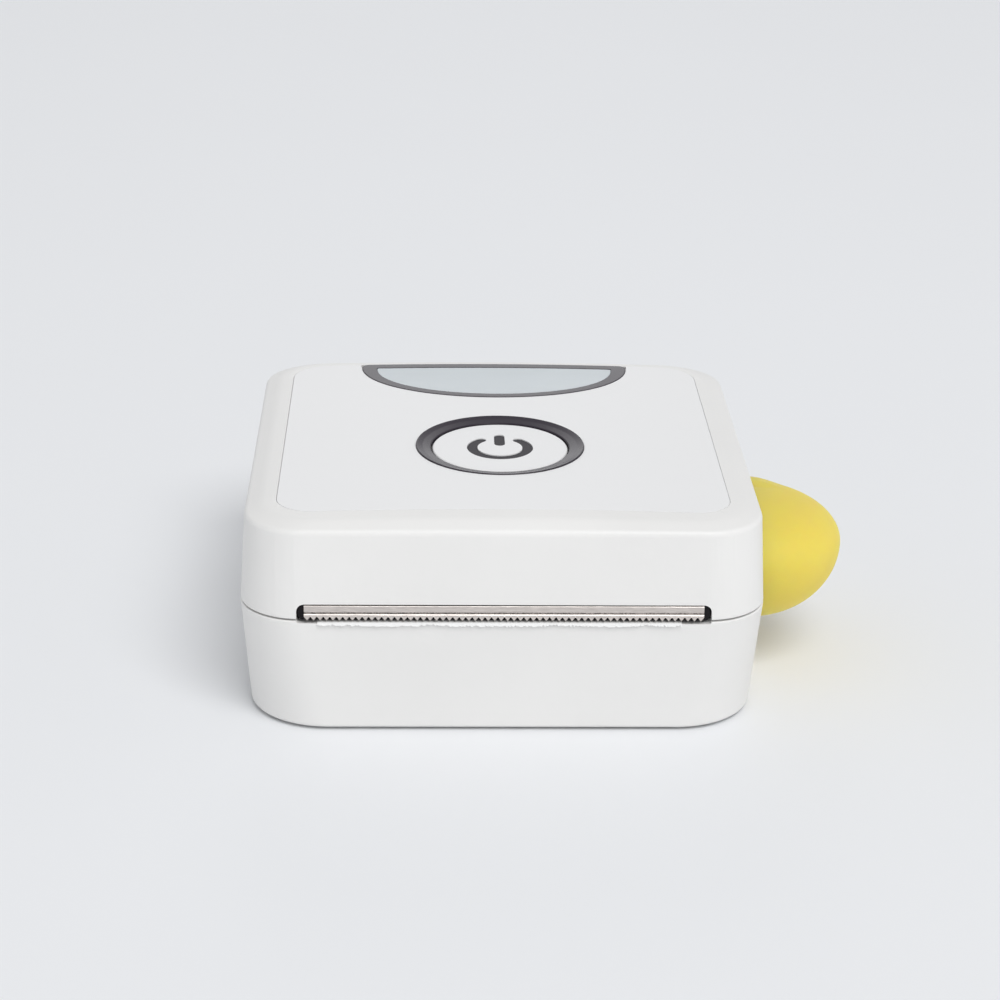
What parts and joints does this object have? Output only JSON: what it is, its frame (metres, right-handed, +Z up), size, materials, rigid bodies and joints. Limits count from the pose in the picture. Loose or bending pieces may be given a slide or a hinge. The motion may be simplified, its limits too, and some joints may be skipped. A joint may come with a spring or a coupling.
{
  "type": "label maker",
  "caption": "Square pocket label printer with a rear-hinged lid, half-moon viewing window, round power button, domed side release tab and serrated paper slot.",
  "frame": {"origin": "centre of the printer's plan, on the plane it stands on", "axes": "+Z up through the power button's face, +Y to the hinge at the rear, +X to the side tab at the right; the paper leaves towards -Y"},
  "size_m": [0.0987, 0.0845, 0.0362],
  "materials": {
    "white_shell": "fine satin-white ABS",
    "grey_trim": "satin dark grey",
    "black_plastic": "matt black",
    "yellow_silicone": "soft-touch silicone",
    "tray_plastic": "matt light grey",
    "clear_window": "clear polycarbonate",
    "steel": "brushed",
    "aluminium": "satin",
    "rubber": "matt",
    "paper": "thermal paper, matt",
    "cardboard": "kraft tube",
    "gear_plastic": "acetal",
    "circuit_board": "solder mask",
    "ceramic": "glazed thermal head",
    "battery_foil": "laminated pouch",
    "ribbon": "polyimide film"
  },
  "bodies": {
    "base": {"base_shell": "white_shell", "base_pad": "rubber", "case_screw_1": "steel", "case_screw_2": "steel", "case_screw_3": "steel", "case_screw_4": "steel", "inner_tray": "tray_plastic", "paper_sensor": "black_plastic", "gear_plate": "steel", "bearing_plate": "steel", "platen_bushing_left": "black_plastic", "platen_bushing_right": "black_plastic", "idler_pin": "steel", "motor_can": "aluminium", "battery_pack": "battery_foil", "charge_board": "circuit_board", "usb_socket": "steel", "paper_strip": "paper", "hinge_pin": "steel", "tab_spring_front": "steel", "tab_spring_rear": "steel"},
    "lid": {"lid_shell": "white_shell", "top_panel": "white_shell", "window_frame": "grey_trim", "window_lens": "clear_window", "button_ring": "grey_trim", "tact_switch": "black_plastic", "main_board": "circuit_board", "board_screw_1": "steel", "board_screw_2": "steel", "board_screw_3": "steel", "board_screw_4": "steel", "print_head": "ceramic", "head_heatsink": "aluminium", "head_spring_left": "steel", "head_spring_right": "steel", "head_ribbon": "ribbon", "tear_bar": "steel", "tear_bar_carrier": "black_plastic", "latch_keeper": "steel"},
    "button": {"power_button": "white_shell", "button_icon": "grey_trim"},
    "platen": {"platen_shaft": "steel", "platen_sleeve": "rubber", "platen_gear": "gear_plastic"},
    "idler": {"idler_gear": "gear_plastic"},
    "motor_rotor": {"motor_pinion": "gear_plastic", "motor_shaft": "steel"},
    "roll": {"paper_roll": "paper", "roll_core": "cardboard"},
    "release": {"side_tab": "yellow_silicone", "tab_slider": "black_plastic"}
  },
  "joints": [
    {"name": "lid_hinge", "type": "hinge", "parent": "base", "child": "lid", "pos_m": [0, 0.0412, 0.01955], "axis": [-1, 0, 0], "range_deg": [0, 80]},
    {"name": "button_press", "type": "slide", "parent": "lid", "child": "button", "axis": [0, 0, -1], "range_m": [0, 0.0006], "stiffness_N_per_m": 400, "springref_m": -0.0005},
    {"name": "release_press", "type": "slide", "parent": "base", "child": "release", "axis": [-1, 0, 0], "range_m": [0, 0.0018], "stiffness_N_per_m": 300, "springref_m": -0.001, "deforming": ["tab_spring_front", "tab_spring_rear"]},
    {"name": "platen_spin", "type": "hinge", "parent": "base", "child": "platen", "pos_m": [0, -0.032, 0.0141], "axis": [1, 0, 0], "continuous": true},
    {"name": "idler_spin", "type": "hinge", "parent": "base", "child": "idler", "pos_m": [0, -0.0244, 0.0116], "axis": [1, 0, 0], "continuous": true},
    {"name": "motor_spin", "type": "hinge", "parent": "base", "child": "motor_rotor", "pos_m": [0, -0.0145, 0.0102], "axis": [1, 0, 0], "continuous": true},
    {"name": "roll_spin", "type": "hinge", "parent": "base", "child": "roll", "pos_m": [0, 0.022, 0.018], "axis": [1, 0, 0], "continuous": true}
  ],
  "couplings": [
    {"joint": "idler_spin", "follows": "platen_spin", "ratio": -1.2857},
    {"joint": "motor_spin", "follows": "platen_spin", "ratio": 3}
  ]
}
